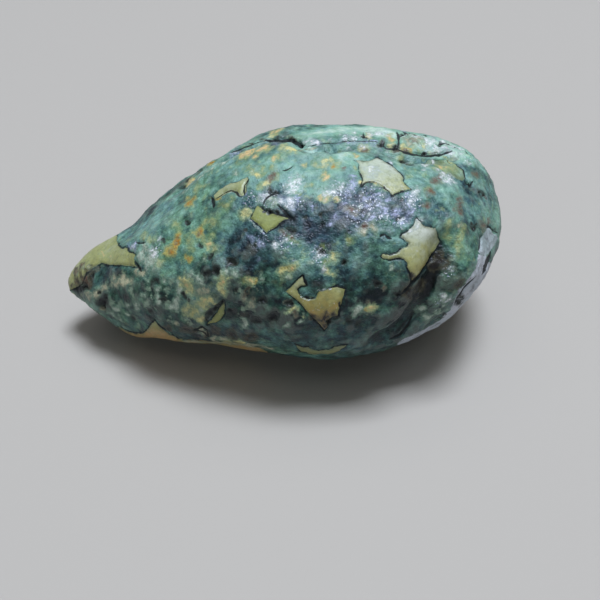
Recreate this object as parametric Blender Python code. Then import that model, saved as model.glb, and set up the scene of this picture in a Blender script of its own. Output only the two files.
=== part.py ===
"""Moss agate pebble: one teardrop-shaped stone, lying on its belly.

Metres, +Z up. X runs along the stone, from its narrow tip at -X to its blunt butt at +X.
The origin is at the middle of the bounding box's base, where the stone rests on a worn flat.

A place on the stone's skin is given by its station, the distance from the tip along X, and by
its angle round the stone: 0 faces +Y, 90 is the crest, 180 faces -Y and 270 is the belly.
"""

import math
from typing import NamedTuple

import bmesh
import bpy
from mathutils import Vector, noise
from mathutils.kdtree import KDTree

MM = 0.001  # the sizes below are in millimetres

LENGTH = 42.0
TIP_CENTRE = (0.0, 6.0)  # Y and Z of the middle of the section at the tip
BUTT_CENTRE = (2.9, 11.0)  # and at the butt
TIP_TAPER = 0.7  # how much slimmer than a round end the tip is
SPHERE_SUBDIVISIONS = 5
FOOT_DEPTH = 0.35  # how much of the belly is worn away flat
SEED = Vector((3.1, 7.7, 1.9))  # moves the noise to a stretch that suits this stone


class Station(NamedTuple):
    """A cross-section of the stone, in millimetres."""

    from_tip: float
    sideways: float  # Y of its middle
    crest: float  # height of its top
    belly: float  # height of its underside
    half_width: float


STATIONS = (
    Station(3.7, 0.0, 9.8, 2.6, 4.1),
    Station(8.3, 0.0, 13.2, 1.5, 7.2),
    Station(13.0, 0.1, 16.8, 1.3, 9.5),
    Station(17.7, 0.2, 19.4, 0.9, 11.2),
    Station(22.3, 0.4, 20.6, 0.1, 12.2),
    Station(27.0, 0.5, 20.7, 0.1, 12.3),
    Station(31.7, 0.9, 20.3, 1.1, 11.7),
    Station(35.1, 1.3, 19.3, 2.3, 10.6),
    Station(38.6, 2.0, 17.3, 5.0, 8.4),
    Station(41.0, 2.7, 14.2, 8.6, 4.4),
)


class Swell(NamedTuple):
    """A broad lump, or a hollow where its height is negative."""

    station: float
    angle: float
    reach: float
    height: float


SWELLS = {
    "tip_flat": Swell(0.2, 120, 2.4, -0.3),
    "hollow_behind_tip": Swell(4.6, 100, 1.8, -0.25),
    "chin_under_tip": Swell(6.4, 222, 3.0, 0.25),
    "notch_under_tip": Swell(4.2, 185, 1.0, -0.3),
    "under_tip": Swell(2.6, 226, 2.2, -0.4),
    "waist_low_front": Swell(17.5, 225, 4.5, -0.6),
    "shoulder_hollow": Swell(15.0, 125, 3.6, -0.45),
    "brow": Swell(23.0, 122, 4.0, 0.35),
    "front_cheek": Swell(28.0, 165, 4.6, 0.3),
    "front_dent": Swell(19.5, 160, 3.0, -0.35),
    "butt_lobe": Swell(37.2, 170, 2.6, 0.7),
    "crest_lobe": Swell(33.0, 70, 3.6, 0.45),
    "crest_hump": Swell(19.6, 62, 3.4, 0.35),
    "butt_shoulder": Swell(38.2, 72, 2.8, 0.5),
    "under_butt": Swell(40.8, 205, 2.3, -0.5),
    "butt_heel": Swell(38.7, 222, 2.7, -0.65),
    "tip_lip": Swell(6.6, 228, 1.9, 0.35),
    "nape": Swell(6.6, 75, 2.0, -0.35),
    "withers": Swell(11.8, 56, 2.8, -0.35),
    "back_hump": Swell(27.0, 45, 4.5, 0.5),
    "back_hollow": Swell(18.0, 20, 4.0, -0.6),
    "back_knob": Swell(12.0, 350, 3.0, 0.5),
    "low_back_ledge": Swell(30.0, 330, 3.6, 0.6),
    "butt_flat": Swell(41.8, 120, 3.2, -0.35),
    "butt_dimple": Swell(39.6, 40, 2.2, -0.5),
}


class Furrow(NamedTuple):
    """A crack or fold in the skin. Its route is (station, angle) points."""

    half_width: float
    depth: float
    step: float  # how far the skin on its left, seen along the route, lies lower
    route: tuple


FURROWS = {
    "crest_crack": Furrow(0.85, 1.15, 0.45, (
        (9.6, 80), (11.6, 78), (14.6, 75), (17.3, 79), (20.0, 78), (22.2, 85), (22.9, 94), (25.0, 93),
        (27.1, 89), (29.7, 90), (31.2, 95), (33.9, 95), (36.6, 86), (38.4, 72),
    )),
    "front_fold": Furrow(1.9, 1.25, 0.0, (
        (34.3, 136), (34.5, 143), (34.1, 151), (33.7, 160), (33.3, 169), (32.9, 176),
        (32.6, 184), (31.6, 192), (30.0, 197), (28.0, 201),
    )),
    "butt_seam": Furrow(0.7, 0.25, 0.25, (
        (39.8, 132), (38.9, 152), (37.9, 172), (36.6, 186), (35.0, 199), (33.0, 208),
    )),
    "back_crack": Furrow(0.85, 0.9, -0.35, (
        (8.4, 25), (12.0, 33), (15.4, 27), (19.0, 30), (22.6, 21), (26.4, 25), (29.6, 14), (33.6, 8),
        (36.4, 352),
    )),
    "back_branch": Furrow(0.7, 0.65, 0.0, ((22.6, 21), (24.2, 5), (27.2, 352), (28.4, 336), (32.0, 322))),
}


class Pit(NamedTuple):
    station: float
    angle: float
    radius: float
    depth: float


PITS = (
    Pit(17.0, 148, 0.65, 0.55),
    Pit(30.9, 133, 0.5, 0.5),
    Pit(39.0, 114, 0.6, 0.5),
    Pit(37.2, 111, 0.5, 0.35),
    Pit(20.6, 117, 0.55, 0.4),
    Pit(26.3, 151, 0.45, 0.35),
    Pit(14.5, 52, 0.6, 0.5),
    Pit(31.5, 38, 0.7, 0.55),
    Pit(35.8, 20, 0.5, 0.45),
    Pit(10.5, 318, 0.6, 0.5),
    Pit(22.0, 338, 0.7, 0.55),
    Pit(17.5, 300, 0.6, 0.4),
    Pit(35.0, 240, 0.6, 0.5),
    Pit(12.0, 232, 0.55, 0.4),
)

# Uneven skin: the size of its swells and how far they rise or sink.
BROAD_SIZE, BROAD_RISE = 8.0, 0.32
FINE_SIZE, FINE_RISE = 3.0, 0.2

FURROW_FADE = 0.12  # the share of a furrow's route over which each end fades in
STEP_REACH = 2.0  # how quickly the lower side of a furrow rises again
REFINE_REACHES = (1.0, 0.4)  # each pass halves the edges whose middles lie this near a furrow or a pit
STONE_COLOUR = (0.085, 0.19, 0.15, 1.0)
STONE_ROUGHNESS = 0.35


def turn_of(station):
    """How far round the meridian of a sphere a station lies, from 0 at the tip to 1 at the butt."""
    return math.acos(1 - 2 * station / LENGTH) / math.pi


def girth(station):
    """The radius of a unit sphere's section at a station."""
    return math.sqrt(max(0.0, 1 - (2 * station / LENGTH - 1) ** 2))


def section_rows():
    """(turn, Y, Z, half width, half height) rows, with the two halves as multiples of girth()."""
    rows = []
    for s in STATIONS:
        middle = (s.crest + s.belly) / 2
        half_height = (s.crest - s.belly) / 2
        ball = girth(s.from_tip)
        rows.append((turn_of(s.from_tip), s.sideways, middle, s.half_width / ball, half_height / ball))
    first, last = rows[0], rows[-1]
    tip = (0.0, *TIP_CENTRE, first[3] * TIP_TAPER, first[4] * TIP_TAPER)
    return [tip, *rows, (1.0, *BUTT_CENTRE, *last[3:])]


ROWS = section_rows()


def slope(i, column):
    """The slope of a column of ROWS at row i, from its neighbours."""
    before, after = ROWS[max(i - 1, 0)], ROWS[min(i + 1, len(ROWS) - 1)]
    return (after[column] - before[column]) / (after[0] - before[0])


def section_at(turn):
    """(Y, Z, half width, half height) at a turn, on cubics through ROWS."""
    i = max(k for k in range(len(ROWS) - 1) if ROWS[k][0] <= turn)
    start, end = ROWS[i], ROWS[i + 1]
    span = end[0] - start[0]
    q = (turn - start[0]) / span
    found = []
    for column in range(1, 5):
        found.append(
            (2 * q**3 - 3 * q**2 + 1) * start[column]
            + (q**3 - 2 * q**2 + q) * span * slope(i, column)
            + (3 * q**2 - 2 * q**3) * end[column]
            + (q**3 - q**2) * span * slope(i + 1, column)
        )
    return found


def body_point(direction):
    """The point of the plain teardrop body, in millimetres, for a direction from a sphere's middle."""
    station = LENGTH * (1 + direction.x) / 2
    sideways, middle, half_width, half_height = section_at(turn_of(min(max(station, 0.0), LENGTH)))
    return Vector((
        station - LENGTH / 2,
        sideways + half_width * direction.y,
        middle + half_height * direction.z,
    ))


def skin_point(station, angle):
    """The point of the plain body at a station and an angle round it."""
    ball, turn = girth(station), math.radians(angle)
    return body_point(Vector((2 * station / LENGTH - 1, ball * math.cos(turn), ball * math.sin(turn))))


def smooth_route(route, steps=12):
    """Skin points along a smooth curve through a route's (station, angle) points."""
    unwound = [route[0]]
    for station, angle in route[1:]:
        back = unwound[-1][1]
        unwound.append((station, back + (angle - back + 180) % 360 - 180))
    ends = [unwound[0], *unwound, unwound[-1]]
    points = []
    for a, b, c, d in zip(ends, ends[1:], ends[2:], ends[3:]):
        for k in range(steps):
            t = k / steps
            place = [
                (
                    2 * b[n]
                    + (c[n] - a[n]) * t
                    + (2 * a[n] - 5 * b[n] + 4 * c[n] - d[n]) * t**2
                    + (3 * b[n] - a[n] - 3 * c[n] + d[n]) * t**3
                )
                / 2
                for n in (0, 1)
            ]
            points.append(skin_point(*place))
    return [*points, skin_point(*unwound[-1])]


def eased(share):
    """A share of the way from 0 to 1, kept within them and with soft ends."""
    share = min(max(share, 0.0), 1.0)
    return share * share * (3 - 2 * share)


def tree_of(points):
    tree = KDTree(len(points))
    for i, point in enumerate(points):
        tree.insert(point, i)
    tree.balance()
    return tree


def refined_sphere(lines, pits):
    """A triangle sphere whose faces are smaller where furrows and pits will be."""
    bm = bmesh.new()
    bmesh.ops.create_icosphere(bm, subdivisions=SPHERE_SUBDIVISIONS, radius=1.0)
    near = tree_of([point for line in lines for point in line] + pits)
    for reach in REFINE_REACHES:
        middles = [body_point((e.verts[0].co + e.verts[1].co).normalized()) for e in bm.edges]
        edges = [e for e, middle in zip(bm.edges, middles) if near.find(middle)[2] < reach]
        bmesh.ops.subdivide_edges(bm, edges=edges, cuts=1)
        bmesh.ops.triangulate(bm, faces=bm.faces[:])
        for vert in bm.verts:
            vert.co.normalize()
    return bm


def furrow_offset(furrow, line, tree, point, normal):
    """How far a furrow moves a point along its normal."""
    near, index, distance = tree.find(point)
    along = index / (len(line) - 1)
    fade = eased(min(along, 1 - along) / FURROW_FADE)
    groove = eased(1 - distance / furrow.half_width)
    ahead = line[min(index + 1, len(line) - 1)] - line[max(index - 1, 0)]
    leftward = normal.cross(ahead).normalized().dot(point - near)
    step = furrow.step * eased(leftward / furrow.half_width) * math.exp(-distance / STEP_REACH)
    return -fade * (furrow.depth * groove + step)


def relief(point, normal, lines, trees, swells, pits):
    """How far the skin lies above the plain body at a point, in millimetres."""
    rise = BROAD_RISE * noise.noise(point / BROAD_SIZE + SEED) * 2
    rise += FINE_RISE * noise.noise(point / FINE_SIZE + SEED) * 2
    for swell, centre in swells:
        rise += swell.height * math.exp(-((point - centre).length / swell.reach) ** 2)
    for furrow, line, tree in zip(FURROWS.values(), lines, trees):
        rise += furrow_offset(furrow, line, tree, point, normal)
    for pit, centre in pits:
        across = (point - centre).length / pit.radius
        if across < 1:
            rise -= pit.depth * (1 - across**2)
    return rise


def carve(bm, lines, pit_centres):
    """Moves a sphere's vertices to the stone's skin."""
    for vert in bm.verts:
        vert.co = body_point(vert.co)
    bm.normal_update()
    trees = [tree_of(line) for line in lines]
    swells = [(s, skin_point(s.station, s.angle)) for s in SWELLS.values()]
    pits = list(zip(PITS, pit_centres))
    moved = [v.co + v.normal * relief(v.co, v.normal, lines, trees, swells, pits) for v in bm.verts]
    for vert, place in zip(bm.verts, moved):
        vert.co = place


def wear_foot(bm):
    """Cuts the belly flat, and moves the stone so that the cut lies at the origin's height."""
    foot = min(v.co.z for v in bm.verts) + FOOT_DEPTH
    everything = bm.verts[:] + bm.edges[:] + bm.faces[:]
    cut = bmesh.ops.bisect_plane(
        bm, geom=everything, dist=1e-4, plane_co=(0, 0, foot), plane_no=(0, 0, 1), clear_inner=True
    )["geom_cut"]
    rim = [item for item in cut if isinstance(item, bmesh.types.BMEdge)]
    bmesh.ops.contextual_create(bm, geom=rim)
    bmesh.ops.triangulate(bm, faces=[f for f in bm.faces if len(f.verts) > 3])
    middle = [(min(v.co[n] for v in bm.verts) + max(v.co[n] for v in bm.verts)) / 2 for n in (0, 1)]
    bmesh.ops.translate(bm, verts=bm.verts[:], vec=(-middle[0], -middle[1], -foot))


def stone_material():
    material = bpy.data.materials.new("moss_agate")
    material.use_nodes = True
    shader = material.node_tree.nodes["Principled BSDF"]
    shader.inputs["Base Color"].default_value = STONE_COLOUR
    shader.inputs["Roughness"].default_value = STONE_ROUGHNESS
    material.diffuse_color = STONE_COLOUR
    return material


def make_stone(collection):
    lines = [smooth_route(furrow.route) for furrow in FURROWS.values()]
    pit_centres = [skin_point(pit.station, pit.angle) for pit in PITS]
    bm = refined_sphere(lines, pit_centres)
    carve(bm, lines, pit_centres)
    wear_foot(bm)
    bmesh.ops.scale(bm, vec=(MM, MM, MM), verts=bm.verts[:])
    bmesh.ops.recalc_face_normals(bm, faces=bm.faces[:])
    mesh = bpy.data.meshes.new("agate_pebble")
    bm.to_mesh(mesh)
    bm.free()
    mesh.shade_smooth()
    mesh.materials.append(stone_material())
    stone = bpy.data.objects.new("agate_pebble", mesh)
    collection.objects.link(stone)
    return stone


def main():
    for obj in list(bpy.data.objects):
        bpy.data.objects.remove(obj)
    collection = bpy.data.collections.new("moss_agate_pebble")
    bpy.context.scene.collection.children.link(collection)
    make_stone(collection)


main()
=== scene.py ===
"""Moss agate pebble: the finished skin of the stone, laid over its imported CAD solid.

The skin is worked in millimetres and scaled to metres at the end. A mark on the side that faces
the camera is placed by the pixel of a 600 by 600 view at which it is seen, and is cast from the
camera on to the stone. The rest of the stone gets marks of the same kinds from seeded rules.
"""

import math
from typing import NamedTuple

import bmesh
import bpy
import numpy as np
from mathutils import Matrix, Vector, noise
from mathutils.bvhtree import BVHTree
from mathutils.kdtree import KDTree


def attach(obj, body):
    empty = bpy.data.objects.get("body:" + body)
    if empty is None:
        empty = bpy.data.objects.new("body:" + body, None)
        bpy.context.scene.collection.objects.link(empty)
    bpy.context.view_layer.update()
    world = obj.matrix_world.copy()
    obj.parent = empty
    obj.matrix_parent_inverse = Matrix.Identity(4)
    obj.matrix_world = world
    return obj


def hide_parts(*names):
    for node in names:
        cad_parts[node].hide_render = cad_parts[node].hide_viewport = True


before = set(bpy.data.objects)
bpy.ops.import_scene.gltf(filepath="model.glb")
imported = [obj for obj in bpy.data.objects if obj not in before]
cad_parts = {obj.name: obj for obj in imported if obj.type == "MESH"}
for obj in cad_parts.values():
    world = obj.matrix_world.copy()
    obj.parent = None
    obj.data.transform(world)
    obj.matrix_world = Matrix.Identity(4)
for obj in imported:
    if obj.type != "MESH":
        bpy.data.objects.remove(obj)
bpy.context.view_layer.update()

MM = 0.001
NODE = "agate_pebble"


def add_object(name, data):
    """A new object in the scene."""
    thing = bpy.data.objects.new(name, data)
    bpy.context.scene.collection.objects.link(thing)
    return thing


# ---------------------------------------------------------------- camera

FRAME_SIDE = 600  # pixels
LENS, SENSOR = 50.0, 36.0
CLIP_START = 0.001  # metres
VIEW_RISE = math.radians(38)
VIEW_PLACE = Vector((1.7, -66.0, 54.4))
FORWARD = Vector((0, math.cos(VIEW_RISE), -math.sin(VIEW_RISE)))
RIGHT = Vector((1, 0, 0))
UP = RIGHT.cross(FORWARD)
PIXEL = 0.097  # the width of a pixel at the stone, in millimetres


def sight_line(x, y):
    """The direction from the camera through a pixel."""
    focal = FRAME_SIDE * LENS / SENSOR
    middle = FRAME_SIDE / 2
    return (FORWARD * focal + RIGHT * (x - middle) + UP * (middle - y)).normalized()


def make_camera():
    data = bpy.data.cameras.new("camera")
    data.lens, data.sensor_width = LENS, SENSOR
    data.clip_start = CLIP_START
    camera = add_object("camera", data)
    camera.matrix_world = Matrix((RIGHT, UP, -FORWARD)).transposed().to_4x4()
    camera.location = VIEW_PLACE * MM
    bpy.context.scene.camera = camera


# ---------------------------------------------------------------- marks that the camera sees

# All these marks were placed one by one. Their places and radii, and how wide a streak is, are in
# pixels of the view.


class Plate(NamedTuple):
    """A smooth cream or ochre plate of agate in the green skin, with a dark line round it."""

    outline: tuple
    top: float  # how ripe its colour is at its top, from 0, cream, to 1, ochre
    bottom: float
    green: float = 0.0
    # How far past the edge of the view it runs, as the sine of a turn: 0 if it stays in view, and
    # below 0 if it ends before the stone turns that far from it.
    wraps: float = 0.0
    cover: float = 1.0  # how fully it hides the ground
    line: float = 1.0  # how dark the line round it is


PLATES = {
    "shoulder_star": Plate((
        (355, 159), (363, 161), (369, 160.5), (377, 157), (380, 159), (389.5, 164), (397.5, 169.5),
        (404, 177.5), (402.5, 180), (405, 183.5), (411, 189), (402, 191), (396.5, 193), (392, 195.5),
        (388, 190.5), (383.5, 186.5), (379, 183.5), (373.5, 181.5), (366.5, 181.5), (361, 186), (363.5, 180),
        (359.5, 171), (358.5, 164),
    ), top=0.04, bottom=0.48, green=0.05, cover=0.86),
    "flank_star": Plate((
        (417, 218.5), (422.5, 225), (425, 226), (435.5, 228), (437.5, 234), (440, 242), (437.5, 245.5),
        (432, 254.5), (427, 262.5), (421.5, 270.5), (416, 280), (412.5, 282), (410, 274), (407, 267.5),
        (406.5, 262.5), (404.5, 259), (397.5, 258), (389.5, 260), (382.5, 258), (381, 256.5), (382.5, 254),
        (389.5, 255), (396.5, 253), (401, 250), (407.5, 245.5), (409, 243), (404.5, 239.5), (400.5, 237),
        (402, 234.5), (409, 230.5), (413.5, 225.5), (416, 220),
    ), top=-0.1, bottom=0.8, green=0.1),
    "belly_star": Plate((
        (285.5, 291.5), (302.5, 275.5), (304.5, 282), (306.5, 286), (301, 286.5), (297.5, 289),
        (298.5, 293.5), (303, 297.5), (311, 299), (316, 298), (317, 294.5), (319, 290.5), (325, 290),
        (332, 287.5), (337.5, 286.5), (345.5, 289), (344, 293.5), (342, 300.5), (340, 307), (337.5, 315.5),
        (332, 316.5), (328.5, 321), (327, 327), (324, 330), (320.5, 325.5), (313.5, 318.5), (307.5, 312),
        (302, 305.5), (295, 299), (289.5, 294.5),
    ), top=0.32, bottom=0.92, green=0.1),
    "brow_chevron": Plate((
        (249.5, 218.5), (257.5, 205.5), (262, 208.5), (267.5, 212), (273.5, 214), (280.5, 215.5),
        (290.5, 218), (282.5, 221.5), (274.5, 227), (266.5, 233), (261, 227), (255, 222),
    ), top=0.4, bottom=0.5, green=0.9),
    "brow_arc": Plate((
        (213.5, 200), (214, 195), (220, 188), (230, 183), (239, 181), (248, 177), (249, 181), (246, 186),
        (247, 192), (243, 196), (238, 196), (234.5, 192.5), (231, 191.5), (226, 194), (221, 197.5),
    ), top=0.22, bottom=0.4, green=0.55, line=0.12),
    "tip_cap": Plate((
        (60, 296), (60, 262), (76, 244), (84, 225), (92, 228), (99, 216), (110, 221), (112, 230),
        (117.5, 236), (117, 241), (118.5, 245), (121.5, 248), (127.5, 247.5), (128, 251), (135, 254),
        (133.5, 259), (134.5, 263.5), (135.5, 266.5), (125, 265.5), (115, 265), (106.5, 264.5), (101, 263),
        (96, 266), (90.5, 269), (86.5, 273), (84, 278), (80.5, 284), (75, 288), (68, 291),
    ), top=0.42, bottom=0.55, green=0.35, wraps=0.6, cover=0.88, line=0.9),
    "chin_wedge": Plate((
        (154, 320.5), (150.5, 324.5), (147, 330.5), (143, 333), (135.5, 334), (127, 331.5), (119, 326.5),
        (112, 330), (118, 348), (178, 350), (178, 338), (170, 335), (164, 331), (159, 326),
    ), top=0.35, bottom=1.8, green=0.3, wraps=0.35),
    "leaf": Plate((
        (223.5, 300), (225, 307), (224.5, 313), (221, 319), (215, 322.5), (206.5, 325), (210, 320.5),
        (214.5, 316), (218.5, 310.5), (221.5, 305),
    ), top=0.5, bottom=0.75, green=0.9),
    "heel_crescent": Plate((
        (295, 344), (299, 346.5), (304, 348), (308, 347.5), (313, 350), (319, 351), (324, 350), (329, 350),
        (335, 347), (341, 345.5), (347, 345), (343, 348.5), (340, 351), (333, 353), (328, 354.5),
        (321, 353.5), (313, 354.5), (306, 352), (300, 351), (297, 348),
    ), top=0.45, bottom=0.75, green=0.2, cover=0.6, line=0.8),
    "keel_strip": Plate((
        (178, 339.5), (196, 340), (212, 341.5), (228, 341.5), (241, 343), (252, 346), (261, 348.5),
        (269, 352), (262, 354), (212, 354), (178, 350),
    ), top=0.8, bottom=0.95, green=0.2, wraps=0.2, cover=0.8, line=0.25),
    "butt_arc": Plate((
        (425, 163.5), (428.5, 159.5), (435.5, 160), (443.5, 159), (450, 160), (457.5, 164.5), (463.5, 168.5),
        (465, 174), (465, 179), (463, 181), (458, 180), (452.5, 177.5), (447, 174.5), (441, 171),
        (437.5, 166.5), (432, 165),
    ), top=0.4, bottom=0.5, green=0.75, cover=0.4, line=0.1),
}

# The grey-lilac vein round the butt, and its paler, greener head. Its lilac is partly painted light:
# brightened for light thrown up on to the lower right flank.
VEINS = (
    Plate((
        (478, 254), (477, 262), (474.5, 270), (470, 277), (464.5, 284), (458.5, 291), (454.5, 298),
        (452, 305), (448.5, 311), (442.5, 317), (435, 322.5), (427, 327.5), (416, 333), (404, 338.5),
        (396, 344), (410, 352), (470, 330), (500, 290), (500, 268), (490, 262), (486.5, 256), (484, 256),
    ), top=0.4, bottom=0.4, wraps=0.12),
    Plate((
        (477.5, 251), (481, 244), (482, 236), (485, 230), (488, 226.5), (491.5, 231), (496, 234),
        (497.5, 238), (495, 244), (491, 250), (485.5, 257),
    ), top=0.9, bottom=0.6, wraps=0.12),
)


class Crack(NamedTuple):
    """A dark line or fold in the skin, with its half width and depth in millimetres."""

    half_width: float
    depth: float
    route: tuple


CRACKS = {
    "crest_west": Crack(0.1, 0.14, (
        (179, 186), (190, 176), (205, 167), (219, 158.5), (229, 152.5), (240, 149), (257.5, 142.5),
        (266, 140.5),
    )),
    "crest_gap": Crack(0.26, 0.28, ((266, 140), (272, 139), (279, 139.5), (286, 138.5), (294, 139.5))),
    "crest": Crack(0.15, 0.22, ((288, 139), (292, 139.5), (297.5, 142.5), (302.5, 149))),
    "crest_faint": Crack(0.04, 0.08, ((302.5, 148), (312, 146), (320, 143.5), (333.5, 142.5), (350, 140.5))),
    "crest_mid": Crack(0.09, 0.16, ((342, 141), (350.5, 140), (367, 139.5), (377, 141.5))),
    "crest_east": Crack(0.11, 0.2, (
        (374, 141), (380, 143), (386.5, 147), (397.5, 147.5), (404.5, 151), (413, 153.5), (422, 154.5),
        (432, 155.5), (440, 154.5), (452, 151),
    )),
    "crest_spur": Crack(0.1, 0.14, ((397, 131), (398.5, 136), (399, 141), (398, 146))),
    "crest_chip": Crack(0.12, 0.14, (
        (399, 138), (403, 134.5), (408, 132.5), (414, 133.5), (420, 135), (426, 136),
    )),
    "crest_rim": Crack(0.05, 0.08, ((434, 144), (439, 145.5), (444, 143), (450, 143.5), (456, 147))),
    "crest_arc": Crack(0.08, 0.1, ((363, 132), (364, 136.5), (370, 139))),
    "crest_back": Crack(0.07, 0.1, ((452, 148), (459, 147), (466, 151), (471, 157))),
    "shoulder_nick": Crack(0.1, 0.14, ((211.5, 196.5), (212.5, 202), (213.5, 208))),
    "arc_under": Crack(0.07, 0.1, (
        (215.5, 199), (219, 196), (224, 192.5), (231, 190), (236, 192), (239, 196), (243, 197),
    )),
    "arc_side": Crack(0.09, 0.12, ((249, 179), (244.5, 185), (243.5, 191), (245, 196))),
    "tip_dash": Crack(0.07, 0.1, ((136, 242.5), (141, 243), (146, 242.5))),
    "brow_line": Crack(0.05, 0.1, ((282, 171), (288, 169), (293.5, 166))),
    "tip_tail": Crack(0.1, 0.14, ((134.5, 262), (137, 267), (141, 271))),
    "chevron_tail": Crack(0.11, 0.14, ((278, 205), (283, 210), (290, 218), (293, 220))),
    "pocket_rim": Crack(0.08, 0.1, ((262, 207), (265, 199), (270, 195), (276, 193))),
    "chin_hook": Crack(0.1, 0.12, (
        (209, 337.5), (203, 333), (195, 330.5), (202, 327.5), (206, 331), (209, 337.5),
    )),
    "cheek_arc": Crack(0.09, 0.12, ((379.5, 238), (381.5, 235), (385, 234.5), (387, 237), (391, 239))),
    "cheek_edge": Crack(0.12, 0.16, (
        (437, 248), (429, 262), (421, 274), (412.5, 282.5), (409, 289), (401, 295), (396, 299),
    )),
    "heel_curve": Crack(0.1, 0.14, ((389.5, 339), (401, 335), (408, 326), (412, 317))),
    "butt_ring": Crack(0.09, 0.12, ((464, 179), (466, 183.5), (471, 185.5), (473, 181))),
    "butt_line": Crack(0.07, 0.1, ((447.5, 160), (458, 165), (464, 169.5), (465, 179))),
    "vein_core": Crack(0.11, 0.12, (
        (477, 276), (472, 281), (467, 286), (462, 292), (457.5, 297), (454, 303),
    )),
    "vein_side": Crack(0.42, 0.12, ((491, 252), (490, 258), (488, 264), (485.5, 269), (482, 274))),
    "vein_head": Crack(0.1, 0.12, ((480, 234), (481.5, 240), (480, 246), (478.5, 251))),
    "vein_cap": Crack(0.09, 0.12, ((486, 227), (490, 226.5), (493, 230), (498, 233))),
}

# Wide folds: furrows in the relief, painted near black as shade.
FOLDS = (
    Crack(0.45, 0.45, (
        (437, 262), (434.5, 269), (432.5, 275), (430.5, 282), (428.5, 288), (425, 295), (420, 301),
    )),
    Crack(0.12, 0.15, ((420, 301), (424, 303), (428, 305.5))),
    Crack(0.12, 0.15, ((425, 297), (418, 306), (411, 316), (402, 327), (391, 337))),
    Crack(0.08, 0.12, ((432, 305), (424, 311), (417, 317), (408, 326), (399, 335))),
    Crack(0.3, 0.2, ((205, 275), (212, 272), (218, 268))),
    Crack(0.4, 0.3, ((103, 299), (101, 305), (105, 311))),
    Crack(0.35, 0.15, ((97, 268), (92, 273), (89, 279), (86, 285), (79, 289), (72, 290))),
)

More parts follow.
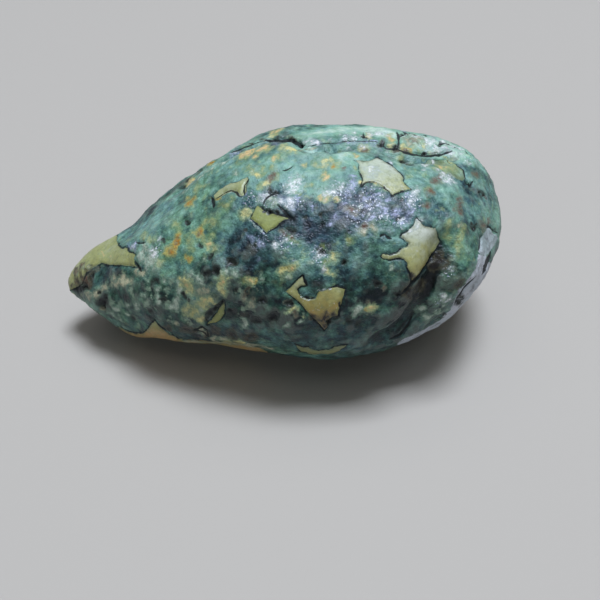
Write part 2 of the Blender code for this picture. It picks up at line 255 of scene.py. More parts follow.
# Spots of a colour, as (x, y, radius).
SPOTS = {
    "pale": (
        (180, 290, 5), (190, 299, 4), (198, 279, 5), (176, 284, 4), (200, 307, 4), (140, 256, 5),
        (146, 268, 4), (158.5, 290.5, 3.4), (159, 297, 3), (158.5, 303.5, 3.6), (173, 307, 5), (177, 300, 5),
        (180, 293, 4), (149, 262, 8), (158, 267, 6), (142, 256, 5), (134, 248.5, 4), (154, 251.5, 3),
        (244, 323.5, 4.5), (289, 276, 3), (358, 308.5, 5.5), (355, 313, 3.6), (228, 271, 4.5),
        (236, 274, 3.4), (222, 274, 3), (216, 250, 4), (203, 258, 3.6), (192, 276, 5), (200, 282, 4),
        (236, 172, 3), (442.5, 297.5, 3.4), (421.5, 309.5, 4), (128, 305, 3.4), (137, 306, 3.6),
        (143, 296, 3), (117, 309, 3.8), (118.5, 318, 4), (127, 314, 3.6), (111, 313, 3), (287, 325, 3),
        (300, 322, 2.4), (268, 199, 4), (274, 204, 3.6), (394, 268, 2.8), (148, 280, 3), (166, 280, 3),
        (168, 290, 2.6), (262, 280, 3), (312, 262, 3), (325, 300, 1.5), (428, 318, 3.6), (445, 303, 3),
        (436, 312, 3),
    ),
    "tan": (
        (124, 282, 4.6), (129, 280.5, 4), (114.5, 284, 3.8), (113, 277, 3), (103.5, 286.5, 4.6),
        (101, 291, 3.2), (88, 296, 5.4), (95, 293.5, 4.4), (142, 273, 4), (136, 271, 3), (120, 276, 2.6),
        (103, 309, 3), (205, 290, 5), (199, 294, 4), (76, 273, 3), (83, 267, 3), (90, 266, 3), (80, 281, 2.6),
        (176, 323, 2), (203, 333, 3.4), (249, 306, 4), (244, 299, 3.4), (458, 226, 4), (372, 229, 4.4),
        (364, 233, 3.4), (414, 140, 5), (408, 139, 4.4), (420, 138, 3.4), (410, 144, 3), (200, 331, 4),
        (214, 339, 4), (224, 337, 3.4), (437, 164, 3), (117, 280, 4), (122, 278, 3),
    ),
    "moss": (
        (175.5, 226, 4.6), (188.5, 256.5, 4.6), (193, 250, 3), (197, 187, 5), (203, 187, 3), (245, 159, 4),
        (238, 162, 3.4), (259, 186, 3), (316.5, 165, 4.4), (336, 164, 4.6), (420, 151, 3.6), (431, 153, 3),
        (240, 216, 3), (310, 183, 3.6), (296, 263, 3), (300, 194, 3), (294, 193, 3), (244, 282, 4),
        (290, 240, 4), (297, 243, 3), (447, 233, 3.4), (460, 239, 3.6), (458, 246, 3), (436, 153, 2.5),
        (209, 165, 3), (206, 222, 5), (213, 235, 4), (153, 240, 5), (152, 236, 3.4), (205, 240, 6),
        (168, 258, 4), (165, 252, 3.4), (180, 232, 5), (214, 222, 6), (232, 200, 4), (272, 168, 3),
        (340, 152, 3), (326, 262, 3), (322, 247, 2.6), (383, 259, 2.4), (437, 169, 4), (443, 174, 3.6),
        (429, 165, 3), (262, 170, 5), (275, 176, 4), (225, 205, 6), (190, 240, 6), (215, 250, 5),
        (350, 240, 4), (145, 235, 5), (250, 170, 5), (400, 160, 5), (428, 190, 4), (355, 168, 3),
        (280, 158, 5), (452, 168, 5), (160, 262, 5),
    ),
    "yellow": (
        (185, 281, 6), (189, 287, 5.4), (180, 280, 3.6), (187, 292, 3), (203, 301, 6.6), (211, 300, 5.4),
        (214, 303, 3.4), (195, 313, 6), (201, 317, 4.6), (188, 309, 4.6), (207, 308, 3), (223.5, 281, 6),
        (221, 287, 5), (224, 293, 3.6), (229, 279, 3.4), (285.5, 269.5, 5.5), (291, 266, 3.4),
        (333, 254.5, 6), (293.5, 310.5, 4.4), (303.5, 318, 2.6), (327, 272, 5), (335, 275, 3.6),
        (268, 149, 3.4), (271, 135, 3.4), (287, 149, 5), (283, 146, 4), (294, 150.5, 3.4), (258.5, 173, 3.4),
        (266.5, 184.5, 5), (327, 160.5, 4.6), (323, 167, 4), (364, 148.5, 5), (368, 134.5, 4.4),
        (370, 137, 3.4), (391, 145.5, 3.6), (407.5, 147.5, 5), (402, 146.5, 3.4), (412, 148, 3.4),
        (424.5, 145, 3.4), (422, 141, 3), (379, 178, 3), (372, 180, 2.4), (451, 161.5, 2.6),
        (457, 164.5, 2.4), (245, 213.5, 5.4), (371, 309, 5), (226, 342, 6), (240, 342, 4),
    ),
    "peach": (
        (247, 153, 5), (243, 156, 4.4), (252, 150.5, 4), (266, 147, 5), (260, 149, 4), (275, 131.5, 5),
        (281, 129.5, 3.4), (257, 156, 4), (275, 158, 3.6), (187, 184, 4.4), (192, 181, 4), (389, 137, 4.4),
        (392, 139, 3), (356, 155, 3), (364, 148, 3.4), (428, 131, 2.4), (288, 268, 3.4), (371, 307.5, 4),
        (250, 281, 4), (223, 283, 4), (325, 175, 3.4), (320, 198, 3.4), (328, 199, 3), (335, 199, 3),
        (441, 166, 3.4), (447, 167, 3), (104, 254, 3.4), (111, 257, 3), (203, 301, 3), (186, 284, 3.4),
        (208, 242, 4), (303, 165, 2.4), (194, 313, 3),
    ),
    "orange": (
        (169, 252, 5), (172.5, 247, 4), (176, 241, 3.6), (178, 237, 3.4), (199.5, 231, 4.4), (203, 228, 2.6),
        (189.5, 202.5, 5), (194, 198, 3.6), (218.5, 196, 3), (253, 281, 3), (188.5, 257, 3),
        (210, 163.5, 3.4), (286, 268, 2.4), (195, 314, 2.6), (152, 335, 5), (158, 336, 5), (143, 337.5, 4),
        (168, 338, 4), (332, 166, 2.2), (366, 309, 2.2), (276, 133, 2.4), (404, 149.5, 3), (411, 149, 2.4),
        (154, 329, 3),
    ),
    # Grey-lilac patches, and painted sheen: most of these stand for the blue-violet sparkle of light on the
    # glossy skin.
    "lilac_and_painted_sheen": (
        (236, 152, 4.4), (231, 155, 3.4), (276, 143, 3.6), (350, 188, 5), (355, 183, 4.4), (346, 191, 4),
        (284, 202, 5), (291, 206, 5), (298, 200, 4), (385, 213, 5), (378, 206, 4.6), (395, 212, 4.4),
        (402, 221, 4), (366, 206, 4), (345, 204, 3.6), (412, 207, 4), (408, 214, 4), (433, 136, 4),
        (403, 130.5, 3), (374, 142, 2.4), (345, 140, 3), (316, 142, 4), (244, 192, 3), (262, 197, 4),
        (354, 178, 4), (357, 184, 3), (330, 223, 3), (313, 207, 3), (133, 248, 3.6), (129, 245, 3),
        (262, 243, 4), (251, 237, 3), (375, 145.5, 2.4), (366, 145, 2.2), (390, 165, 2.2), (258, 257, 2.6),
        (323, 271, 2.6), (411, 196, 4), (447, 150, 4), (388, 199, 3.4), (337, 216, 3),
    ),
    "rust": (
        (459, 204.5, 4), (460, 211, 4), (457, 199, 3), (439, 180, 4.4), (434, 181, 3.6), (430.5, 191.5, 4),
        (427, 205, 3.4), (483, 226, 4), (489, 222, 3.4), (413, 141, 3), (199, 232, 1.8), (169, 252.5, 1.8),
        (288, 303.5, 2.2), (354, 211, 4), (348, 208, 3), (233, 263, 2.2), (369, 302, 2.6), (271, 176, 3),
        (268, 180, 2.4), (283, 234, 3.4), (293, 238, 3), (475, 175, 4), (366, 226, 4), (245, 296, 3),
        (384, 289, 3), (252, 300, 3), (296, 315, 3), (343, 168, 2.2), (365, 150, 2), (405, 152, 3),
        (398, 150, 3), (77, 271, 4), (84, 278, 4), (88, 283, 3.4), (76, 282, 3), (90, 272, 3), (82, 264, 3),
        (95, 268, 2.6),
    ),
    # Dark brown spots; the large ones beside the right fold and at the foot of the belly plate are painted
    # shade.
    "umber_and_painted_shade": (
        (75, 270, 2.6), (81, 274.5, 2.6), (78, 281, 2.6), (86, 270, 2.2), (89, 277, 2.6), (86, 286, 2.8),
        (72.5, 286, 2.6), (93, 265, 2), (80, 267, 2), (84, 281, 2), (75, 276, 2), (90, 283, 2.4),
        (322, 321, 4.4), (325, 326, 3.6), (315, 316, 3.2), (333, 313, 3), (413, 277, 3), (395, 151.5, 2.6),
        (405, 154, 2.4), (291, 140, 3.4), (262, 139.5, 3), (250, 144, 2.6), (190, 178, 3), (198, 172, 2.4),
        (381, 143, 3), (408, 134, 3), (415, 135, 2.4), (271, 187, 2.4), (193, 331, 2.6), (205, 335, 2.4),
        (245, 316, 3), (248, 291, 3), (456, 285, 3.6), (461, 283, 3), (437, 257, 6), (443, 261, 6),
        (186, 329, 5), (232, 334, 6), (250, 338, 5), (215, 330, 4), (168, 329, 3), (436, 265, 6),
        (324, 318, 5), (418, 287, 6), (410, 292, 6),
    ),
    # White chips, and painted highlights: many of these white spots stand for glints of light on the glossy
    # skin.
    "white_and_painted_glint": (
        (236.5, 151, 2.6), (293, 184, 6.4), (289, 190, 4.4), (297, 180.5, 4.4), (290, 202.5, 4),
        (286, 207, 3), (333, 190, 4.4), (341, 187, 3.6), (327, 194.5, 4), (414, 191, 4), (411.5, 203, 3),
        (413, 197, 3), (401, 219, 2.6), (448, 179.5, 5), (443, 176, 3.4), (452, 182, 3.4), (439, 171, 2.6),
        (485, 196, 2.2), (283, 240, 3), (276, 244, 2.6), (263, 199, 4), (269, 196, 3), (281, 203, 3),
        (153, 252, 3.6), (150, 245, 2.6), (160, 240, 2.2), (451, 270, 2.6), (455, 268, 2), (441, 297, 3),
        (448, 298, 2.4), (425, 139, 3), (430, 144, 5), (431, 139, 3.4), (437, 151, 4.6), (447, 147, 5),
        (444, 142, 3), (455, 146, 4), (353, 138, 3), (345, 138.5, 2.6), (316, 142, 3.4), (311, 141, 2.6),
        (306, 142, 3), (362, 136, 2.6), (370, 134, 4.4), (376, 133, 3), (433, 162, 3.6), (427, 165, 3.4),
        (424, 168, 2.4), (318, 254.5, 3.6), (324, 269, 3), (372, 171, 6), (417, 222, 2.6), (407, 131, 2.6),
        (456, 139, 3), (450, 135, 2.6), (386, 136, 2.4), (379, 133, 3), (418, 137, 2.4), (355, 133, 2.6),
        (330, 138, 2), (364, 146.5, 3), (388, 153, 2.4), (350, 150, 2.4), (461, 149, 3), (391, 165, 1.8),
        (441, 153, 2.6), (450, 153, 3), (435, 146, 2.4), (462, 156, 2.4), (468, 163, 2.4), (360, 206, 2),
        (368, 214, 1.8), (383, 206, 2), (396, 206, 2),
    ),
    "black": (
        (216, 270.5, 3.6), (206.5, 274.5, 3.2), (231, 262, 4), (228, 266, 3), (103, 304, 4), (105, 299, 3),
        (185, 296, 3), (190, 301, 2), (98, 292, 2), (272, 191, 3), (276, 193.5, 2.4), (270, 212, 2.4),
        (266, 210, 2), (276, 211, 2), (398, 217.5, 2.6), (400.5, 200, 2.2), (318.5, 250, 3), (323, 252, 2.4),
        (344.5, 262, 3), (247.5, 316.5, 2.4), (243, 315.5, 2), (290, 305.5, 2.2), (483, 195.5, 2.6),
        (479, 192, 2.6), (445.5, 314, 1.8), (441, 318, 1.6), (322, 214, 2.4), (294, 232, 3), (289, 230, 2.4),
        (155, 281, 2.6), (163, 300, 2.4), (150, 312, 3), (133, 318, 3), (182, 187, 3.4), (187, 181, 2.6),
        (200, 170, 2.4), (276, 139, 3), (382, 143, 2.6), (396, 147, 2.6), (365, 137, 2.2), (470, 186, 2.4),
        (330, 322, 3), (335, 318, 3), (474, 227, 3.4), (254, 243, 2), (265, 262, 2), (246, 232, 1.6),
        (306, 216, 2), (351, 320, 3), (341, 305, 1.6), (358, 322, 3), (231, 312, 3.4), (236, 290, 3),
        (262, 300, 4), (274, 318, 4), (256, 320, 4), (164, 241, 2), (187, 222, 2), (184, 218, 1.8),
        (200, 246, 2.4), (211, 254, 2.6), (398, 295, 3), (377, 284, 3), (405, 132, 2.4), (403, 134.5, 2.4),
        (412, 133, 2), (425, 135.5, 2.2), (426.5, 153, 2.4), (302, 145, 2.2), (441, 144, 2), (84, 287, 2.6),
        (91, 276, 2), (97, 268, 1.8),
    ),
}

# Streaks of a colour, as (half width, route).
STREAKS = {
    # Painted highlights: thin white lines of light along the upper edges of plates.
    "white_and_painted_glint": (
        (1.1, ((300.5, 295.5), (304, 298.5), (310.5, 300.5), (317, 299))),
        (1.1, ((320, 291.5), (326, 291), (333, 288.5))),
        (1.2, ((403, 235), (409.5, 231.5), (414, 227), (416.5, 221))),
        (1, ((251.5, 220.5), (256.5, 226), (262, 231))),
        (1, ((231, 190.5), (236, 193), (240, 197))),
        (1, ((391, 254.5), (397.5, 253), (403, 250))),
    ),
    "black": (
        (4, ((461, 296), (457, 302))),
        (2.6, ((221, 301), (216, 306), (211, 311), (207.5, 316), (204.5, 321))),
        (1.6, ((270, 141), (280, 141), (290, 140))),
    ),
    "yellow": (
        (2, ((361, 185), (367, 181.5), (375, 182), (382, 185), (388, 190))),
        (1.6, ((444, 157.5), (450, 160.5), (458, 164))),
    ),
    "moss": (
        (4, ((450, 222), (447, 232), (449, 242))),
        (4, ((463, 228), (460, 238), (457, 248), (460, 256))),
    ),
    "orange": ((2.4, ((124, 332), (136, 338.5), (150, 338.5), (166, 338.5), (182, 340))),),
    # Painted sheen: streaks of blue-violet light on the glossy skin.
    "lilac_and_painted_sheen": (
        (2.2, ((362, 200), (370, 197), (379, 193))),
        (2, ((346, 210), (352, 216), (360, 220), (370, 219), (378, 212))),
        (1.3, ((336, 142.5), (350, 141.5), (366, 141), (379, 143))),
        (1.6, ((406, 192), (411, 198), (414, 204), (413, 211), (408, 217), (401, 222))),
    ),
    "rust": ((1.8, ((270.5, 172), (271, 178), (270, 184))),),
    "pale": (
        (2, ((183, 192), (195, 181), (212, 169), (228, 160))),
        (3, ((142, 245), (148, 250), (156, 258), (162, 266))),
    ),
    "tan": (
        (2.4, ((186, 341), (206, 342.5), (230, 343.5), (256, 346), (274, 349.5))),
        (1.5, ((302, 151.5), (310, 149.5), (319, 148))),
    ),
}


class Tone(NamedTuple):
    light: float  # 0 and under is near black, and 1 is chalky
    blue: float  # from 0, bottle green, to 1, indigo


TONES = {
    # chalky pale, partly painted light on the upward-facing back lobe
    "chalk_and_painted_light": Tone(0.98, 0.2),
    "teal": Tone(0.7, 0.45),
    "sage": Tone(0.62, 0.18),
    "sea": Tone(0.46, 0.6),
    "slate": Tone(0.2, 0.6),
    "indigo": Tone(0.08, 0.95),
    "bottle": Tone(0.2, 0.02),
    "ash": Tone(0.23, 0.4),
    # near black: partly dark stone, partly painted shade in folds and on the lower flank
    "char_and_painted_shade": Tone(-0.06, 0.2),
}

# Stretches of one tone, as (x, y, radius).
STRETCHES = {
    # Partly painted light: the back lobe and crest are made paler where light falls on them.
    "chalk_and_painted_light": (
        (312, 133, 13), (340, 131, 13), (375, 130, 13), (440, 146, 16), (458, 152, 14), (300, 152, 10),
        (345, 157, 10), (390, 134, 9), (143, 252, 8), (152, 262, 7), (415, 140, 12), (428, 132, 10),
    ),
    "teal": (
        (245, 170, 20), (285, 170, 20), (330, 168, 18), (350, 145, 12), (425, 180, 16), (450, 190, 14),
        (480, 185, 10), (395, 158, 12), (150, 226, 14), (235, 178, 10), (300, 185, 12), (488, 215, 8),
        (345, 172, 9), (480, 165, 8),
    ),
    "sage": (
        (205, 190, 18), (185, 210, 16), (200, 235, 16), (190, 255, 14), (175, 245, 14), (225, 220, 12),
        (165, 270, 12), (232, 178, 8), (460, 243, 10), (265, 160, 10), (115, 245, 10), (445, 230, 10),
        (300, 260, 8), (463, 255, 7), (188, 290, 12),
    ),
    "sea": (
        (305, 255, 13), (320, 265, 10), (240, 195, 10), (395, 270, 10), (345, 245, 12), (440, 212, 12),
        (130, 235, 8), (470, 215, 12), (365, 262, 10), (215, 255, 8), (300, 280, 10), (488, 200, 9),
        (425, 200, 10), (385, 240, 9),
    ),
    "slate": (
        (250, 240, 16), (255, 258, 14), (235, 245, 10), (290, 222, 12), (275, 240, 10), (385, 210, 12),
        (370, 200, 12), (350, 225, 12), (110, 275, 10), (470, 198, 9), (150, 212, 8), (345, 270, 8),
        (300, 205, 9), (280, 200, 8), (405, 205, 8),
    ),
    "indigo": (
        (325, 220, 14), (322, 240, 10), (340, 208, 10), (305, 228, 8), (275, 195, 8), (365, 212, 8),
        (330, 232, 9), (355, 200, 7), (340, 196, 6),
    ),
    "bottle": (
        (125, 290, 16), (145, 300, 16), (165, 292, 12), (115, 305, 10), (240, 290, 14), (230, 310, 12),
        (270, 290, 12), (380, 268, 12), (395, 282, 10), (448, 285, 10), (435, 310, 10), (180, 322, 12),
        (375, 250, 8), (205, 262, 7), (265, 275, 9), (450, 272, 7), (190, 320, 10), (255, 305, 12),
    ),
    "ash": (
        (330, 335, 16), (370, 332, 14), (300, 335, 14), (400, 320, 12), (350, 320, 10), (230, 332, 12),
        (265, 332, 12), (410, 335, 10), (358, 325, 10), (345, 345, 14), (380, 342, 12),
    ),
    # Partly painted shade, in the folds and on the shaded lower flank.
    "char_and_painted_shade": (
        (270, 300, 10), (258, 246, 7), (290, 322, 7), (402, 309, 8), (328, 222, 6), (355, 290, 12),
        (345, 300, 9), (375, 292, 11), (405, 297, 11), (430, 270, 10), (442, 257, 10), (390, 322, 9),
        (335, 228, 8), (272, 312, 8), (265, 308, 13), (285, 315, 9), (240, 312, 9), (205, 273, 6),
        (184, 294, 6), (213, 310, 5), (88, 281, 5), (102, 300, 6), (210, 312, 6), (465, 228, 5),
        (360, 310, 8), (420, 290, 9), (150, 318, 5), (317, 285, 6),
    ),
}

# Places with a broken, knobbly skin, with painted blue glints and with pale blotches, as (x, y, radius).
RUGGED = (
    (410, 140, 12), (430, 146, 14), (450, 148, 12), (468, 158, 10), (380, 138, 10), (395, 138, 8),
    (72, 282, 8), (82, 270, 9), (90, 284, 8), (270, 203, 11), (287, 207, 8), (212, 270, 10), (230, 262, 8),
    (200, 302, 12), (190, 285, 10), (480, 240, 10), (470, 275, 8), (350, 158, 6), (322, 165, 10),
    (425, 165, 8), (268, 178, 8), (460, 285, 8), (448, 262, 8), (300, 240, 9), (390, 235, 8), (300, 195, 7),
    (405, 200, 6), (440, 315, 10), (115, 300, 14), (150, 300, 12), (245, 305, 10),
)
GLINTING = (
    (371, 197, 12), (362, 214, 14), (380, 212, 10), (296, 200, 8), (342, 190, 12), (412, 200, 10),
    (285, 243, 9), (262, 238, 6), (320, 255, 8), (250, 200, 8), (268, 200, 10), (430, 142, 14),
    (455, 140, 10), (398, 222, 9), (441, 300, 6), (449, 272, 5), (293, 184, 9), (447, 180, 7), (155, 252, 8),
    (350, 138, 10), (380, 133, 8), (466, 160, 8), (410, 135, 8),
)
BLOTCHY = (
    (98, 292, 10), (115, 285, 9), (130, 290, 8), (118, 310, 12), (150, 292, 12), (150, 308, 12),
    (172, 302, 13), (170, 318, 9), (186, 321, 8), (242, 290, 9), (208, 305, 9), (185, 288, 12),
    (200, 300, 12), (192, 315, 10), (170, 285, 10), (225, 275, 8), (135, 320, 8), (245, 312, 8),
    (290, 255, 8), (440, 310, 10), (455, 265, 8), (365, 309, 7), (240, 285, 8), (262, 282, 8), (300, 318, 6),
)

# ---------------------------------------------------------------- marks on the hidden sides

SEED = 11
HIDDEN_PLATES = 15
HIDDEN_CRACKS = 22
HIDDEN_SPOTS = {
    "pale": 70, "tan": 36, "moss": 40, "yellow": 50, "peach": 16, "orange": 30, "lilac_and_painted_sheen": 20, "rust": 24,
    "umber_and_painted_shade": 16, "white_and_painted_glint": 36, "black": 60,
}
PLATE_SPACING, CRACK_SPACING, SPOT_SPACING = 5.0, 3.0, 0.9  # between marks of a kind, in millimetres
PLATE_HIDING, MARK_HIDING = 0.5, 0.05  # how far the stone has turned away there, as a sine
FOOT = 0.3  # no mark is put this near to the floor, in millimetres

# Ranges from which the looks of a hidden plate are drawn, and how far round it the plate runs.
PLATE_STRETCH = (0.7, 1.15)
PLATE_TOP = (0.1, 0.5)
PLATE_RIPENING = (0.1, 0.35)
PLATE_GREENNESS = (0.1, 0.8)
PLATE_WRAPS = -0.65

# The same for a hidden crack: the number, turn and length of its steps, and its size.
CRACK_STEPS = (2, 6)
CRACK_TURN = 0.6
CRACK_STEP = (0.4, 0.9)
CRACK_HALF_WIDTH = (0.05, 0.12)
CRACK_DEPTH = (0.08, 0.16)

SPOT_RADIUS = 0.36  # the middling radius of a hidden spot, and how far the others stray from it
SPOT_SPREAD = 0.4

# ---------------------------------------------------------------- relief, in millimetres

WELD = 1e-4
VOXEL = 0.235
RELAX_TURNS = 6
PLATE_STEP, LINE_STEP = 0.12, 0.06  # between the points that stand for a line
LINE_REACH = 0.4  # the skin is made finer this near to a line

FAR_OUTSIDE = -2.0  # the depth inside a mark of a point that is nowhere near it
PLATE_NEARBY, CRACK_NEARBY = 2.0, 1.0  # how far from a mark its points are looked for
PLATE_JITTER = 0.07  # how ragged a plate's outline is
PLATE_FACING = 0.1  # a plate ends where the stone turns away from it, unless it wraps
WRAP_MARGIN = 0.2
WRAP_FADE = 4.0  # how soon a wrapping plate ends, and how far that end strays
WRAP_DRIFT = 1.5
WRAP_STRAY = 2.5  # how much more its sides stray once it is out of view, and how soon they do
WRAP_TURN = 0.3
PLATE_ROUNDING = 0.12
PLATE_RISE = 0.02
PLATE_CALM = 0.85  # how far a plate is free of bumps
GROOVE_DEPTH = 0.09
GROOVE_HALF_WIDTH = 0.13
GROOVE_OUTSET = 0.07

CRACK_TAPER = 5.0  # one over the share of its length in which a crack's end narrows
CRACK_TIP = 0.25  # the width of its tip, as a share of the crack's
CRACK_WANDER = 0.5
CRACK_BANK = 0.22  # the width of the slope beside it
FOLD_START = -0.4  # where a fold's slope starts, and how wide it is
FOLD_BANK = 0.9

SPOT_WANDER = 0.34  # how far a spot's rim strays
SPOT_RAGS = 0.4  # how ragged a spot is, as a share of its radius
SPOT_FLATTENING = 0.85  # how far a seen spot's shape is set by the view and not by the slope
STREAK_STEP = 2.0  # between the spots of a streak, in pixels
PIT_DEPTH = 0.22  # of a black spot, and how steep its sides are
PIT_CURVE = 0.7
PALE_RISE = 0.05

LUMPS = ((2.4, 0.12), (1.1, 0.09), (0.5, 0.045))  # size and rise of each kind of bump
RUGGED_RISE = 0.13
RUGGED_CAVITY = 0.09  # a hollow this deep or a ridge this high is as rugged as can be
CAVITY_TURNS = 24  # how far the skin is smoothed to find its hollows

# Kinds of noise, as the size of its lumps, a shift that sets it apart and, if not 2, its octaves.
JITTER_NOISES = ((0.5, 3.0), (0.5, 5.0))
DRIFT_NOISE = (2.2, 7.0, 3)
CRACK_NOISE = (0.9, 8.0)
LIGHT_NOISE = (6.0, 21.0, 3)
BLUE_NOISE = (7.0, 33.0)
RUGGED_NOISE = (0.8, 51.0)
WANDER_NOISES = ((0.8, 80.0), (0.8, 81.0), (0.8, 82.0))
SPOT_RAG_SIZE = 0.55
LUMP_SHIFT, SPOT_SHIFT = 40.0, 60.0  # for the first kind of lump and of spot

# The ground between the stretches: its lightness, how much lighter it is where the skin faces up, which is
# partly painted light from above, and how far it sways, the same for how blue it is, and how much it counts
# beside a stretch.
GROUND_LIGHT, TOP_LIGHT, LIGHT_SWAY = 0.36, 0.22, 0.3
GROUND_BLUE, BLUE_SWAY = 0.34, 0.42
GROUND_SHARE = 0.25

# ---------------------------------------------------------------- the stage, in metres

FLOOR_COLOUR = (0.41, 0.4, 0.39, 1)
FLOOR_ROUGHNESS = 0.85
FLOOR_REACH = 1.6
WALL_CURVE = 0.8
WALL_HEIGHT = 2.6
STAGE_SIDES = 64
CURVE_STEPS = 12
WORLD_COLOUR = (0.95, 0.97, 1.0, 1)
WORLD_STRENGTH = 0.05


class Skin:
    """The stone's surface as arrays of points and normals, in millimetres."""

    def __init__(self, bm):
        self.bm = bm
        self.refresh()

    def refresh(self):
        self.bm.normal_update()
        self.bm.verts.ensure_lookup_table()
        self.points = np.array([v.co for v in self.bm.verts])
        self.normals = np.array([v.normal for v in self.bm.verts])
        pairs = np.array([(e.verts[0].index, e.verts[1].index) for e in self.bm.edges])
        self.pairs = np.concatenate((pairs, pairs[:, ::-1]))
        self.neighbours = np.bincount(self.pairs[:, 0], minlength=len(self.points))[:, None]
        self.tree = BVHTree.FromBMesh(self.bm)

    def averaged(self, values):
        """Each vertex's values averaged over its neighbours."""
        own, other = self.pairs.T
        totals = [np.bincount(own, column[other], len(values)) for column in values.T]
        return np.stack(totals, 1) / self.neighbours

    def relax(self, turns, pull=0.5):
        """The points, smoothed."""
        points = self.points
        for _ in range(turns):
            points = points + pull * (self.averaged(points) - points)
        return points

    def move_to(self, points):
        for vert, point in zip(self.bm.verts, points):
            vert.co = point
        self.refresh()

    def seen_at(self, x, y):
        """The place and normal that a pixel of the view sees, or None where it misses the stone."""
        place, normal, _, _ = self.tree.ray_cast(VIEW_PLACE, sight_line(x, y))
        return place and (place, normal)

    def nearest(self, point):
        """The place on the stone that is nearest to a point."""
        return self.tree.find_nearest(point)[0]


def fine_stone():
    """An even, smooth mesh of the CAD stone, in millimetres."""
    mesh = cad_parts[NODE].data.copy()
    mesh.transform(Matrix.Scale(1 / MM, 4))
    bm = bmesh.new()
    bm.from_mesh(mesh)
    bmesh.ops.remove_doubles(bm, verts=bm.verts[:], dist=WELD)
    bm.to_mesh(mesh)
    bm.free()
    rough = add_object("rough", mesh)
    rounder = rough.modifiers.new("rounder", "SUBSURF")
    rounder.levels = rounder.render_levels = 1
    even = rough.modifiers.new("even", "REMESH")
    even.mode = "VOXEL"
    even.voxel_size = VOXEL
    bpy.context.view_layer.update()
    graph = bpy.context.evaluated_depsgraph_get()
    bm = bmesh.new()
    bm.from_object(rough, graph)
    bpy.data.objects.remove(rough)
    bpy.data.meshes.remove(mesh)
    skin = Skin(bm)
    skin.move_to(skin.relax(RELAX_TURNS))
    return skin


# ---------------------------------------------------------------- placing marks


class Placed(NamedTuple):
    """A plate's outline on a flat frame laid against the stone."""

    middle: np.ndarray
    axes: np.ndarray  # across, up and out of the stone
    outline: np.ndarray  # along the first two axes
    plate: Plate

    def reach(self):
        return np.linalg.norm(self.outline, axis=1).max()

    def flat(self, points):
        """The points along the first two axes, as the camera sees them where the plate wraps."""
        offset = points - self.middle
        if self.plate.wraps > 0:
            lens = np.array(VIEW_PLACE)
            forward = np.array(FORWARD)
            deep = (self.middle - lens) @ forward
            sight = points - lens
            offset = lens + sight * (deep / (sight @ forward))[:, None] - self.middle
        return offset @ self.axes[:2].T


def frame_at(out):
    """Axes across, up the slope and out of the stone."""
    out = Vector(out).normalized()
    across = Vector((0, 0, 1)).cross(out)
    if across.length < 0.2:  # nearly level ground has no slope to follow
        across = Vector((1, 0, 0))
    across = (across - out * across.dot(out)).normalized()
    return np.array((across, out.cross(across), out))


def place_plate(skin, plate):
    """Casts a plate's outline on to the stone and flattens it there."""
    seen = [skin.seen_at(*pixel) for pixel in plate.outline]
    hits = [hit for hit in seen if hit]
    middle = sum((place for place, _ in hits), Vector()) / len(hits)
    if plate.wraps:
        axes = np.array((RIGHT, UP, -FORWARD))
        deep = (middle - VIEW_PLACE).dot(FORWARD)
        lines = [sight_line(*pixel) for pixel in plate.outline]
        places = [VIEW_PLACE + line * (deep / line.dot(FORWARD)) for line in lines]
    else:
        axes = frame_at(sum((normal for _, normal in hits), Vector()))
        places = [place for place, _ in hits]
    outline = (np.array(places) - np.array(middle)) @ axes.T
    return Placed(np.array(middle), axes, outline[:, :2], plate)


def depth_inside(points, outline):
    """How far inside a closed outline each flat point lies, negative where it is outside."""
    ends = np.roll(outline, -1, axis=0)
    edges = ends - outline
    offsets = points[:, None] - outline
    along = np.clip((offsets * edges).sum(2) / (edges**2).sum(1), 0, 1)
    gaps = np.linalg.norm(offsets - along[..., None] * edges, axis=2).min(1)
    x, y = points[:, None, 0], points[:, None, 1]
    rise = np.where(edges[:, 1] == 0, 1, edges[:, 1])  # a level edge is never crossed
    crossed = ((outline[:, 1] > y) != (ends[:, 1] > y)) & (
        x < outline[:, 0] + (y - outline[:, 1]) * edges[:, 0] / rise
    )
    return np.where(crossed.sum(1) % 2 == 1, gaps, -gaps)


def noise_at(points, size, shift, octaves=2):
    """Noise from about -1 to 1, whose lumps measure size."""
    move = Vector((shift, 2.3 * shift, -1.7 * shift))  # askew, so that no two shifts repeat
    return np.array([noise.fractal(Vector(p) / size + move, 1.0, 2.0, octaves) for p in points])


def noises_at(points, kinds):
    """Noise of several kinds, side by side."""
    return np.stack([noise_at(points, *kind) for kind in kinds], 1)


